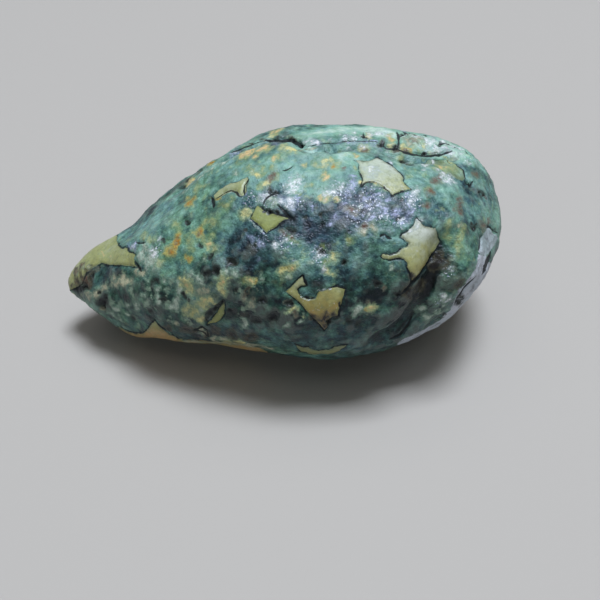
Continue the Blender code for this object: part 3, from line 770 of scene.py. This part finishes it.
def plate_fields(skin, placed_plates):
    """Each vertex's depth inside the nearest plate, and the looks of that plate there."""
    names = ("ripe", "green", "cover", "line")
    fields = {name: np.zeros(len(skin.points)) for name in names}
    depth = fields["plate"] = np.full(len(skin.points), FAR_OUTSIDE)
    jitter = noises_at(skin.points, JITTER_NOISES) * PLATE_JITTER
    drift = noise_at(skin.points, *DRIFT_NOISE) * WRAP_DRIFT
    for placed in placed_plates:
        plate = placed.plate
        near = np.linalg.norm(skin.points - placed.middle, axis=1) < placed.reach() + PLATE_NEARBY
        turned = skin.normals @ placed.axes[2]
        near &= turned > (-plate.wraps - WRAP_MARGIN if plate.wraps else PLATE_FACING)
        flat = placed.flat(skin.points[near]) + jitter[near]
        if plate.wraps > 0:
            flat[:, 0] += WRAP_STRAY * drift[near] * np.clip(-turned[near] / WRAP_TURN, 0, 1)
        inside = depth_inside(flat, placed.outline)
        if plate.wraps:
            inside = np.minimum(inside, (turned[near] + plate.wraps) * WRAP_FADE + drift[near])
        low, high = placed.outline[:, 1].min(), placed.outline[:, 1].max()
        up = np.clip((flat[:, 1] - low) / (high - low), 0, 1)
        ours = inside > depth[near]
        index = np.flatnonzero(near)[ours]
        depth[index] = inside[ours]
        ripe = plate.bottom + (plate.top - plate.bottom) * up[ours]
        for name, value in zip(names, (ripe, plate.green, plate.cover, plate.line)):
            fields[name][index] = value
    return fields


class Line(NamedTuple):
    """A crack or fold as points close together on the stone."""

    points: list
    half_width: float
    depth: float


def line_points(skin, route):
    """Points close together on the stone along a route of places on it."""
    points = []
    for a, b in zip(route, route[1:]):
        count = max(1, int((b - a).length / LINE_STEP))
        points += [skin.nearest(a.lerp(b, k / count)) for k in range(count)]
    return [*points, skin.nearest(route[-1])]


def seen_lines(skin, cracks):
    """The lines of cracks or folds that the camera sees."""
    lines = []
    for crack in cracks:
        hits = [skin.seen_at(*pixel) for pixel in crack.route]
        points = line_points(skin, [hit[0] for hit in hits if hit])
        lines.append(Line(points, crack.half_width, crack.depth))
    return lines


def tree_of(points):
    tree = KDTree(len(points))
    for i, point in enumerate(points):
        tree.insert(point, i)
    tree.balance()
    return tree


def crack_fields(skin, lines):
    """How deep inside a crack's line each vertex lies, and how deep that crack is cut."""
    depth, cut = np.full(len(skin.points), FAR_OUTSIDE), np.zeros(len(skin.points))
    wander = noise_at(skin.points, *CRACK_NOISE)
    for line in lines:
        tree = tree_of(line.points)
        last = len(line.points) - 1
        low = np.min(line.points, axis=0) - CRACK_NEARBY
        high = np.max(line.points, axis=0) + CRACK_NEARBY
        for i in np.flatnonzero(((skin.points > low) & (skin.points < high)).all(1)):
            _, at, gap = tree.find(skin.points[i])
            ends = min(1.0, CRACK_TAPER * min(at, last - at) / last) if last else 1.0
            width = line.half_width * (CRACK_TIP + (1 - CRACK_TIP) * ends)
            inside = width * (1 + CRACK_WANDER * wander[i]) - gap
            if inside > depth[i]:
                depth[i] = inside
                cut[i] = line.depth * ends
    return depth, cut


def wandered(skin):
    """The skin's points, each shifted a little, so that what is laid on them is uneven."""
    return skin.points + SPOT_WANDER * noises_at(skin.points, WANDER_NOISES)


def spot_field(points, spots, shift):
    """About 1 at the middle of a spot, 0 at its ragged rim and below 0 outside."""
    field = np.full(len(points), -1.0)
    for place, radius, sight in spots:
        offset = points - np.array(place)
        gap = np.sqrt((offset**2).sum(1) - SPOT_FLATTENING * (offset @ np.array(sight)) ** 2)
        np.maximum(field, 1 - gap / radius, out=field)
    return field + SPOT_RAGS * noise_at(points, SPOT_RAG_SIZE, shift) * (field > -1)


def zone_field(skin, places):
    """1 within the nearest of the places, falling smoothly to 0 round it."""
    field = np.zeros(len(skin.points))
    for place, radius in places:
        gap = np.linalg.norm(skin.points - np.array(place), axis=1)
        np.maximum(field, np.exp(-((gap / radius) ** 4)), out=field)
    return field


def tone_fields(skin, stretches):
    """The lightness and blueness of the ground colour."""
    # Lighter where the skin faces up: partly painted light from above.
    ground = GROUND_LIGHT + TOP_LIGHT * skin.normals[:, 2]
    ground += LIGHT_SWAY * noise_at(skin.points, *LIGHT_NOISE)
    total = np.full(len(skin.points), GROUND_SHARE)
    light = ground * total
    blue = (GROUND_BLUE + BLUE_SWAY * noise_at(skin.points, *BLUE_NOISE)) * total
    for tone, place, radius in stretches:
        gap = np.linalg.norm(skin.points - np.array(place), axis=1)
        weight = np.exp(-((gap / radius) ** 2))
        total += weight
        light += weight * tone.light
        blue += weight * tone.blue
    return light / total, blue / total


# ---------------------------------------------------------------- the hidden sides


def hidden_places(skin, rng, count, spacing, hiding=MARK_HIDING):
    """Seeded places on the stone, turned away from the camera and no nearer than spacing."""
    places = []
    for i in rng.permutation(len(skin.points)):
        point, normal = Vector(skin.points[i]), Vector(skin.normals[i])
        sight = VIEW_PLACE - point
        if normal.dot(sight) > -hiding * sight.length or point.z < FOOT:
            continue
        if any((point - other).length < spacing for other, _ in places):
            continue
        places.append((point, normal))
        if len(places) == count:
            break
    return places


def hidden_plates(skin, rng, seen):
    """Plates on the hidden sides: seen ones, turned, mirrored and stretched."""
    placed = []
    for place, normal in hidden_places(skin, rng, HIDDEN_PLATES, PLATE_SPACING, PLATE_HIDING):
        model = seen[rng.integers(len(seen))]
        turn = rng.uniform(0, math.tau)
        spin = np.array(((math.cos(turn), -math.sin(turn)), (math.sin(turn), math.cos(turn))))
        stretch = rng.uniform(*PLATE_STRETCH, 2) * (1, rng.choice((-1, 1)))
        outline = (model.outline - model.outline.mean(0)) * stretch @ spin
        top = rng.uniform(*PLATE_TOP)
        bottom = top + rng.uniform(*PLATE_RIPENING)
        plate = Plate((), top, bottom, rng.uniform(*PLATE_GREENNESS), PLATE_WRAPS)
        placed.append(Placed(np.array(place), frame_at(normal), outline, plate))
    return placed


def hidden_cracks(skin, rng):
    """Lines that wander a few steps over the hidden sides."""
    lines = []
    for place, normal in hidden_places(skin, rng, HIDDEN_CRACKS, CRACK_SPACING):
        across, up, _ = frame_at(normal)
        heading = rng.uniform(0, math.tau)
        route = [place]
        for _ in range(rng.integers(*CRACK_STEPS)):
            heading += rng.normal(0, CRACK_TURN)
            step = (across * math.cos(heading) + up * math.sin(heading)) * rng.uniform(*CRACK_STEP)
            route.append(skin.nearest(route[-1] + Vector(step)))
        half_width, depth = rng.uniform(*CRACK_HALF_WIDTH), rng.uniform(*CRACK_DEPTH)
        lines.append(Line(line_points(skin, route), half_width, depth))
    return lines


def hidden_spots(skin, rng, kind):
    """Round spots, so with no direction from which they are flattened."""
    places = hidden_places(skin, rng, HIDDEN_SPOTS[kind], SPOT_SPACING)
    return [(place, SPOT_RADIUS * math.exp(rng.normal(0, SPOT_SPREAD)), (0, 0, 0)) for place, _ in places]


# ---------------------------------------------------------------- the skin's shape and its fields


def plate_line(skin, placed):
    """Points along a plate's outline, laid back on the stone."""
    corners = [placed.middle + placed.axes[:2].T @ corner for corner in placed.outline]
    corners.append(corners[0])
    points = []
    for a, b in zip(corners, corners[1:]):
        count = max(1, int(np.linalg.norm(b - a) / PLATE_STEP))
        points += [skin.nearest(Vector(a + (b - a) * k / count)) for k in range(count)]
    return points


def finer_near(skin, points):
    """Halves the edges of the skin near the points."""
    tree = tree_of(points)
    edges = []
    for edge in skin.bm.edges:
        middle = (edge.verts[0].co + edge.verts[1].co) / 2
        if tree.find(middle)[2] < LINE_REACH:
            edges.append(edge)
    bmesh.ops.subdivide_edges(skin.bm, edges=edges, cuts=1, use_grid_fill=True)
    crowded = [face for face in skin.bm.faces if len(face.verts) > 4]
    bmesh.ops.triangulate(skin.bm, faces=crowded)
    skin.refresh()


def eased(value):
    """0 below 0, 1 above 1, and smooth between them."""
    share = np.clip(value, 0, 1)
    return share * share * (3 - 2 * share)


def bell(gap, half_width):
    """1 at no gap, falling to 0 at half_width."""
    return eased(1 - np.abs(gap) / half_width)


def relief(skin, fields):
    """How far the finished skin lies above the smooth stone."""
    rise = np.zeros(len(skin.points))
    for kind, (size, height) in enumerate(LUMPS):
        rise += height * noise_at(skin.points, size, LUMP_SHIFT + kind, 1)
    rise += fields["rugged"] * RUGGED_RISE * noise_at(skin.points, *RUGGED_NOISE)
    on_plate = fields["line"] * np.clip(fields["plate"] / PLATE_ROUNDING, 0, 1)
    rise *= 1 - PLATE_CALM * on_plate
    rise += PLATE_RISE * on_plate
    rise -= GROOVE_DEPTH * fields["line"] * bell(fields["plate"] + GROOVE_OUTSET, GROOVE_HALF_WIDTH)
    rise -= fields["cut"] * bell(np.minimum(fields["crack"], 0), CRACK_BANK)
    rise -= fields["fold_cut"] * eased((fields["fold"] - FOLD_START) / FOLD_BANK)
    rise -= PIT_DEPTH * np.clip(fields["black"], 0, 1) ** PIT_CURVE
    rise += PALE_RISE * np.clip(fields["pale"], 0, 1)
    return rise


def cavity_of(skin):
    """How hollow the skin is at each vertex: above 0 in furrows and pits, below 0 on ridges."""
    return ((skin.relax(CAVITY_TURNS) - skin.points) * skin.normals).sum(1)


def seen_places(skin, pixels):
    """The places on the stone that each (x, y, radius) of the view sees, with the radius there."""
    found = ((skin.seen_at(x, y), radius) for x, y, radius in pixels)
    return [(hit[0], radius * PIXEL) for hit, radius in found if hit]


def seen_spots(skin, pixels):
    """The same, with the direction from the camera."""
    return [(place, radius, (place - VIEW_PLACE).normalized()) for place, radius in seen_places(skin, pixels)]


def streak_spots(half_width, route):
    """Spots in a row along a route of pixels of the view."""
    spots = []
    for (x1, y1), (x2, y2) in zip(route, route[1:]):
        count = max(1, round(math.dist((x1, y1), (x2, y2)) / STREAK_STEP))
        steps = [k / count for k in range(count)]
        spots += [(x1 + (x2 - x1) * share, y1 + (y2 - y1) * share, half_width) for share in steps]
    return tuple(spots)


def dress(skin):
    """Shapes the skin and returns its fields by name."""
    rng = np.random.default_rng(SEED)
    plates = [place_plate(skin, plate) for plate in PLATES.values()]
    plates += hidden_plates(skin, rng, [placed for placed in plates if not placed.plate.wraps])
    lines = seen_lines(skin, CRACKS.values()) + hidden_cracks(skin, rng)
    folds = seen_lines(skin, FOLDS)
    veins = [place_plate(skin, vein) for vein in VEINS]
    spots = {}
    for kind, pixels in SPOTS.items():
        for half_width, route in STREAKS.get(kind, ()):
            pixels += streak_spots(half_width, route)
        spots[kind] = seen_spots(skin, pixels) + hidden_spots(skin, rng, kind)
    rugged, blotchy, glinting = (seen_places(skin, places) for places in (RUGGED, BLOTCHY, GLINTING))
    stretches = [
        (TONES[kind], place, radius)
        for kind, pixels in STRETCHES.items()
        for place, radius in seen_places(skin, pixels)
    ]
    outlines = [point for placed in plates for point in plate_line(skin, placed)]
    finer_near(skin, outlines + [point for line in lines for point in line.points])

    fields = plate_fields(skin, plates)
    vein = plate_fields(skin, veins)
    fields["vein"], fields["vein_tint"] = vein["plate"], vein["ripe"]
    fields["crack"], fields["cut"] = crack_fields(skin, lines)
    fields["fold"], fields["fold_cut"] = crack_fields(skin, folds)
    ruggedness = np.clip(np.abs(cavity_of(skin)) / RUGGED_CAVITY, 0, 1)
    fields["rugged"] = np.maximum(zone_field(skin, rugged), ruggedness)
    fields["blotchy"] = zone_field(skin, blotchy)
    fields["glinting"] = zone_field(skin, glinting)
    points = wandered(skin)
    for shift, (kind, places) in enumerate(spots.items()):
        fields[kind] = spot_field(points, places, SPOT_SHIFT + shift)
    fields["light"], fields["blue"] = tone_fields(skin, stretches)
    points = skin.points + skin.normals * relief(skin, fields)[:, None]
    points[:, 2] = np.maximum(points[:, 2], 0)
    skin.move_to(points)
    fields["cavity"] = cavity_of(skin)
    del fields["cut"], fields["fold_cut"], fields["rugged"]  # only the relief needs these
    return fields


# ---------------------------------------------------------------- material

# Noise of the material: the size of its lumps in millimetres, its detail and its roughness.
NOISES = {
    "patch": (1.9, 3, 0.6), "mottle": (0.75, 3, 0.62), "grain": (0.2, 2, 0.6), "blue": (0.9, 2, 0.55),
    "cloud": (0.85, 3, 0.6), "glint": (0.26, 2, 0.7), "sifting": (0.36, 3, 0.65), "freckle": (0.2, 1, 0.55),
    "dirt": (0.45, 3, 0.65), "spark": (0.19, 1, 0.55), "faint": (1.3, 2, 0.55), "peel": (0.5, 2, 0.5),
    "fine_peel": (0.16, 1, 0.55),
}

# Where a noise thins what it is laid on: from least at the first level to all at the second.
THINNING = {"glint": (0.38, 0.62, 0.25), "sifting": (0.36, 0.6, 0.55), "faint": (0.4, 0.52, 0.45)}

# The ground colour from its darkest to its chalkiest, in its greener and its bluer kind.
GREENS = (
    (0.0, (0.003, 0.008, 0.006)), (0.2, (0.012, 0.044, 0.029)), (0.4, (0.05, 0.13, 0.085)),
    (0.6, (0.12, 0.27, 0.175)), (0.8, (0.235, 0.46, 0.34)), (1.0, (0.56, 0.72, 0.62)),
)
BLUES = (
    (0.0, (0.004, 0.007, 0.016)), (0.2, (0.015, 0.033, 0.06)), (0.4, (0.04, 0.098, 0.142)),
    (0.6, (0.095, 0.2, 0.25)), (0.8, (0.2, 0.37, 0.42)), (1.0, (0.46, 0.6, 0.66)),
)
# A plate's colour from cream to ochre.
RIPENESS = (
    (0.0, (0.62, 0.68, 0.64)), (0.2, (0.48, 0.54, 0.45)), (0.45, (0.41, 0.42, 0.19)),
    (0.7, (0.29, 0.235, 0.07)), (1.0, (0.46, 0.25, 0.11)),
)
PLATE_GREEN, PLATE_GREENING = (0.23, 0.3, 0.09), 0.75
LINE_BLACK, LINE_STRENGTH = (0.006, 0.009, 0.009), 0.95
# grey-lilac, brightened with painted light bounced up on to the lower right flank
VEIN_LILAC_WITH_PAINTED_BOUNCE = (0.56, 0.57, 0.68)
VEIN_HEAD = (0.25, 0.35, 0.36)
SPOT_LOOKS = {  # the colour at a spot's rim and at its core, and how strongly it shows
    "pale": ((0.14, 0.24, 0.18), (0.44, 0.53, 0.45), 0.95),
    "tan": ((0.16, 0.22, 0.16), (0.41, 0.4, 0.28), 1.0),
    "moss": ((0.15, 0.25, 0.12), (0.36, 0.38, 0.14), 0.65),
    "yellow": ((0.25, 0.34, 0.2), (0.62, 0.58, 0.26), 0.95),
    "peach": ((0.3, 0.37, 0.19), (0.6, 0.45, 0.22), 1.0),
    "orange": ((0.36, 0.33, 0.1), (0.36, 0.17, 0.02), 1.0),
    # grey-lilac patches, and painted sheen
    "lilac_and_painted_sheen": ((0.14, 0.18, 0.27), (0.4, 0.44, 0.68), 0.8),
    "rust": ((0.14, 0.15, 0.11), (0.12, 0.055, 0.035), 0.85),
    # dark brown, partly painted shade
    "umber_and_painted_shade": ((0.07, 0.065, 0.04), (0.02, 0.016, 0.011), 1.0),
    # white chips, and painted highlights
    "white_and_painted_glint": ((0.34, 0.42, 0.42), (0.72, 0.75, 0.8), 0.95),
    "black": ((0.03, 0.04, 0.032), (0.004, 0.005, 0.004), 1.2),
}
SPOT_RIM, SPOT_CORE = (-0.55, 0.4), (0.1, 0.8)  # the depths at which a spot and its core appear
# The spots that are partly painted highlights, broken into sparkles.
SPARKLING = ("lilac_and_painted_sheen", "white_and_painted_glint")


class Layer(NamedTuple):
    """A colour over the ones below, where a value passes from low to high."""

    low: float
    high: float
    strength: float
    colour: tuple


LAYERS = {
    # painted glints: blue-violet highlights laid into the colour, where the skin is also glossier
    "glint": Layer(0.55, 0.66, 0.5, (0.38, 0.42, 0.68)),
    "speckle": Layer(0.56, 0.74, 0.35, (0.38, 0.48, 0.22)),
    "blotch": Layer(0.6, 0.72, 0.8, (0.25, 0.36, 0.27)),
    "worn": Layer(-0.015, -0.07, 0.12, (0.5, 0.58, 0.5)),
    # painted shade: darker in hollows, furrows and pits
    "hollow": Layer(0.015, 0.11, 0.62, (0.014, 0.02, 0.017)),
    # painted shade: near black down the folds
    "fold": Layer(-0.2, 0.2, 0.95, (0.006, 0.007, 0.006)),
    "vein_stain": Layer(0.02, 0.16, 0.55, (0.12, 0.12, 0.14)),
    "freckle": Layer(0.64, 0.74, 0.35, (0.62, 0.66, 0.62)),
    "dirt": Layer(0.45, 0.72, 0.5, (0.16, 0.19, 0.09)),
    "skirt": Layer(0.35, 0.0, 0.5, (0.13, 0.15, 0.05)),
    # painted highlights: tiny white sparkles of light
    "spark": Layer(0.61, 0.69, 0.75, (0.84, 0.87, 1.0)),
}
FINISH = {
    "IOR": 1.54,
    "Specular IOR Level": 0.4,
    "Specular Tint": (0.75, 0.82, 1.0, 1),
    "Coat Weight": 0.06,
    "Coat Roughness": 0.2,
}
PEEL_DEPTH = 0.19  # millimetres


def new_material(name):
    """A new material and its shader."""
    material = bpy.data.materials.new(name)
    material.use_nodes = True
    return material, material.node_tree.nodes["Principled BSDF"]


class Graph:
    """Shorthand for wiring a material's nodes."""

    def __init__(self, tree):
        self.tree = tree
        self.place = tree.nodes.new("ShaderNodeTexCoord").outputs["Object"]

    def put(self, socket, value):
        """Feeds a socket with another, a number or a colour."""
        if isinstance(value, bpy.types.NodeSocket):
            self.tree.links.new(value, socket)
        else:
            socket.default_value = (*value, 1) if isinstance(value, tuple) else value

    def math(self, operation, *values):
        node = self.tree.nodes.new("ShaderNodeMath")
        node.operation = operation
        for socket, value in zip(node.inputs, values):
            self.put(socket, value)
        return node.outputs[0]

    def product(self, value, *others):
        for other in others:
            value = self.math("MULTIPLY", value, other)
        return value

    def total(self, value, *terms, clamp=False):
        """The value plus each term, which is another value and its weight."""
        for other, weight in terms:
            value = self.math("MULTIPLY_ADD", other, weight, value)
        value.node.use_clamp = clamp
        return value

    def field(self, name):
        node = self.tree.nodes.new("ShaderNodeAttribute")
        node.attribute_name = name
        return node.outputs["Fac"]

    def noise(self, kind):
        """Noise from 0 to 1."""
        size, detail, roughness = NOISES[kind]
        node = self.tree.nodes.new("ShaderNodeTexNoise")
        self.put(node.inputs["Vector"], self.place)
        node.inputs["Scale"].default_value = 1 / (size * MM)
        node.inputs["Detail"].default_value = detail
        node.inputs["Roughness"].default_value = roughness
        return node.outputs["Fac"]

    def sway(self, kind):
        """Noise from -0.5 to 0.5."""
        return self.math("SUBTRACT", self.noise(kind), 0.5)

    def step(self, value, low, high):
        """0 below low, 1 above high, and smooth between them. High may be the lower one."""
        node = self.tree.nodes.new("ShaderNodeMapRange")
        node.interpolation_type = "SMOOTHSTEP"
        for name, number in (("Value", value), ("From Min", low), ("From Max", high)):
            self.put(node.inputs[name], number)
        return node.outputs["Result"]

    def thinned(self, kind):
        """From least to 1, as THINNING says for a kind of noise."""
        low, high, least = THINNING[kind]
        return self.total(least, (self.step(self.noise(kind), low, high), 1 - least))

    def ramp(self, value, stops):
        node = self.tree.nodes.new("ShaderNodeValToRGB")
        elements = node.color_ramp.elements
        while len(elements) < len(stops):
            elements.new(0.5)
        for element, (position, colour) in zip(elements, stops):
            element.position = position
            element.color = (*colour, 1)
        self.put(node.inputs["Fac"], value)
        return node.outputs["Color"]

    def mix(self, share, under, over):
        node = self.tree.nodes.new("ShaderNodeMix")
        node.data_type = "RGBA"
        for name, value in (("Factor", share), ("A", under), ("B", over)):
            self.put(node.inputs[name], value)
        return node.outputs["Result"]

    def mask(self, name, value, *shares):
        """How strongly a layer shows where it follows the value, times each of the shares."""
        layer = LAYERS[name]
        return self.product(self.step(value, layer.low, layer.high), *shares, layer.strength)

    def layered(self, under, name, value, *shares):
        """The colour under with that layer over it."""
        return self.mix(self.mask(name, value, *shares), under, LAYERS[name].colour)


def agate():
    """The skin's material, all from the fields on its vertices and from noise of a real size."""
    material, shader = new_material("moss_agate_skin")
    g = Graph(material.node_tree)
    patch, mottle, grain = g.sway("patch"), g.sway("mottle"), g.sway("grain")

    # The mossy ground.
    ground = g.field("light")
    calm = g.step(ground, 0.45, 0.85)  # chalky ground is calmer
    unrest = g.total(0.0, (patch, 0.8), (mottle, 1.0), (grain, 0.22))
    light = g.total(ground, (unrest, g.total(1.0, (calm, -0.55))))
    blue = g.total(g.field("blue"), (g.sway("blue"), 1.1), clamp=True)
    colour = g.mix(blue, g.ramp(light, GREENS), g.ramp(light, BLUES))

    # What lies on it: painted glints, moss, blotches, worn ridges, and painted shade in hollows and folds.
    cloud = g.noise("cloud")
    glinting, blotchy, cavity = (g.field(name) for name in ("glinting", "blotchy", "cavity"))
    # Painted glints: blue-violet highlights in the glinting places, which are also made glossier.
    glint = g.mask("glint", g.noise("glint"), glinting)
    colour = g.mix(glint, colour, LAYERS["glint"].colour)
    colour = g.layered(colour, "speckle", cloud, g.step(ground, 0.05, 0.6))
    colour = g.layered(colour, "blotch", g.total(cloud, (blotchy, 0.12)), blotchy)
    colour = g.layered(colour, "worn", cavity)
    # Painted shade: hollows, furrows and pits are darkened.
    colour = g.layered(colour, "hollow", cavity)
    # Painted shade: the folds are painted near black.
    colour = g.layered(colour, "fold", g.total(g.field("fold"), (mottle, 0.8)))

    # The vein's lilac is partly painted bounce light.
    tint = g.total(g.field("vein_tint"), (patch, 0.8), clamp=True)
    vein_colour = g.layered(g.mix(tint, VEIN_LILAC_WITH_PAINTED_BOUNCE, VEIN_HEAD), "vein_stain", mottle)
    in_vein = g.step(g.total(g.field("vein"), (mottle, 0.5)), -0.04, 0.06)
    colour = g.mix(in_vein, colour, vein_colour)

    # Spots, first those that a plate covers.
    ragged = g.total(0.0, (grain, 0.7), (mottle, 1.7))
    # Twinkle breaks the painted highlights of the white and lilac spots into sparkles.
    twinkle, sifting = g.thinned("glint"), g.thinned("sifting")

    def spotted(under, *kinds):
        for kind in kinds:
            rim, core, strength = SPOT_LOOKS[kind]
            inside = g.math("ADD", g.field(kind), ragged)
            shade = g.mix(g.step(inside, *SPOT_CORE), rim, core)
            speckled = twinkle if kind in SPARKLING else sifting
            under = g.mix(g.product(speckled, strength, g.step(inside, *SPOT_RIM)), under, shade)
        return under

    # The lilac spots here are mostly painted sheen.
    colour = spotted(colour, "pale", "moss", "lilac_and_painted_sheen", "yellow", "orange")

    # The plates, with freckles, dirt and a greener rim.
    plate, line = g.field("plate"), g.field("line")
    ripe = g.total(g.field("ripe"), (mottle, 0.35), (patch, 0.6))
    greening = g.product(g.field("green"), PLATE_GREENING)
    plate_colour = g.mix(greening, g.ramp(ripe, RIPENESS), PLATE_GREEN)
    plate_colour = g.layered(plate_colour, "freckle", g.noise("freckle"))
    plate_colour = g.layered(plate_colour, "dirt", g.noise("dirt"))
    plate_colour = g.layered(plate_colour, "skirt", g.total(plate, (mottle, 0.7)), line)
    on_plate = g.product(g.step(g.total(plate, (grain, 0.14)), -0.02, 0.05), g.field("cover"))
    colour = g.mix(on_plate, colour, plate_colour)

    # The white spots here are partly painted highlights, and the umber spots partly painted shade.
    colour = spotted(colour, "tan", "peach", "rust", "umber_and_painted_shade", "white_and_painted_glint", "black")
    # Painted highlights: tiny white sparkles in the glinting places.
    colour = g.layered(colour, "spark", g.noise("spark"), glinting)

    # The dark lines round the plates, and the cracks.
    rim = g.math("ABSOLUTE", g.math("ADD", plate, 0.05))
    rim = g.total(rim, (patch, 0.25), (mottle, 0.3))
    rim = g.product(line, g.thinned("faint"), g.step(rim, 0.1, 0.02))
    crack = g.step(g.total(g.field("crack"), (mottle, 0.2)), -0.06, 0.02)
    dark = g.math("MAXIMUM", rim, crack)
    g.put(shader.inputs["Base Color"], g.mix(g.product(dark, LINE_STRENGTH), colour, LINE_BLACK))

    rough = g.total(0.5, (mottle, 0.6), (glint, -0.6), (on_plate, -0.1), (dark, 0.3), clamp=True)
    g.put(shader.inputs["Roughness"], rough)
    for name, value in FINISH.items():
        shader.inputs[name].default_value = value

    peel = g.total(g.noise("peel"), (g.noise("fine_peel"), 0.25))
    bump = material.node_tree.nodes.new("ShaderNodeBump")
    bump.inputs["Distance"].default_value = PEEL_DEPTH * MM
    g.put(bump.inputs["Height"], g.product(peel, g.total(1.0, (on_plate, -0.75))))
    g.put(shader.inputs["Normal"], bump.outputs["Normal"])
    return material


# ---------------------------------------------------------------- the piece and its stage


def make_skin():
    skin = fine_stone()
    fields = dress(skin)
    mesh = bpy.data.meshes.new("agate_skin")
    skin.bm.to_mesh(mesh)
    skin.bm.free()
    mesh.transform(Matrix.Scale(MM, 4))
    mesh.shade_smooth()
    for name, values in fields.items():
        layer = mesh.attributes.new(name, "FLOAT", "POINT")
        layer.data.foreach_set("value", values.astype(np.float32))
    mesh.materials.append(agate())
    piece = add_object("agate_skin", mesh)
    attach(piece, "root")
    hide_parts(NODE)


def make_stage():
    """A pale dish: flat under the stone and curving up to a wall far from it."""
    material, shader = new_material("pale_floor")
    shader.inputs["Base Color"].default_value = FLOOR_COLOUR
    shader.inputs["Roughness"].default_value = FLOOR_ROUGHNESS
    profile = [(FLOOR_REACH, 0.0)]
    for step in range(1, CURVE_STEPS + 1):
        angle = step / CURVE_STEPS * math.pi / 2
        profile.append((FLOOR_REACH + WALL_CURVE * math.sin(angle), WALL_CURVE * (1 - math.cos(angle))))
    profile.append((FLOOR_REACH + WALL_CURVE, WALL_HEIGHT))
    bm = bmesh.new()
    rings = []
    angles = [side / STAGE_SIDES * math.tau for side in range(STAGE_SIDES)]
    for reach, height in profile:
        rings.append([bm.verts.new((reach * math.cos(a), reach * math.sin(a), height)) for a in angles])
    rings.insert(0, [bm.verts.new((vert.co.x / 2, vert.co.y / 2, 0)) for vert in rings[0]])
    bm.faces.new(rings[0])
    for lower, upper in zip(rings, rings[1:]):
        for side in range(STAGE_SIDES):
            after = (side + 1) % STAGE_SIDES
            bm.faces.new((lower[side], lower[after], upper[after], upper[side])).normal_flip()
    mesh = bpy.data.meshes.new("floor")
    bm.to_mesh(mesh)
    bm.free()
    mesh.shade_smooth()
    mesh.materials.append(material)
    floor = add_object("floor", mesh)


def make_light(name, place, side, watts, tint, mirrored=True):
    """A square soft light, with its place and side in metres, aimed at the stone."""
    data = bpy.data.lights.new(name, "AREA")
    data.size = side
    data.energy = watts
    data.color = tint
    light = add_object(name, data)
    light.location = place
    light.rotation_euler = (-Vector(place)).to_track_quat("-Z", "Y").to_euler()
    light.visible_glossy = mirrored


def make_lights():
    make_light("key", (0.16, 0.06, 1.2), side=0.42, watts=16.3, tint=(0.9, 0.94, 1.0))
    make_light("sky", (0, 0, 1.7), side=2.4, watts=9.7, tint=(1.0, 0.97, 0.92))
    make_light("fill", (-0.3, -1.0, 0.4), side=0.8, watts=1.5, tint=(0.94, 1.0, 0.95), mirrored=False)
    world = bpy.data.worlds.new("studio")
    world.use_nodes = True
    background = world.node_tree.nodes["Background"]
    background.inputs["Color"].default_value = WORLD_COLOUR
    background.inputs["Strength"].default_value = WORLD_STRENGTH
    bpy.context.scene.world = world
    bpy.context.scene.view_settings.view_transform = "Standard"


make_camera()
make_skin()
make_stage()
make_lights()
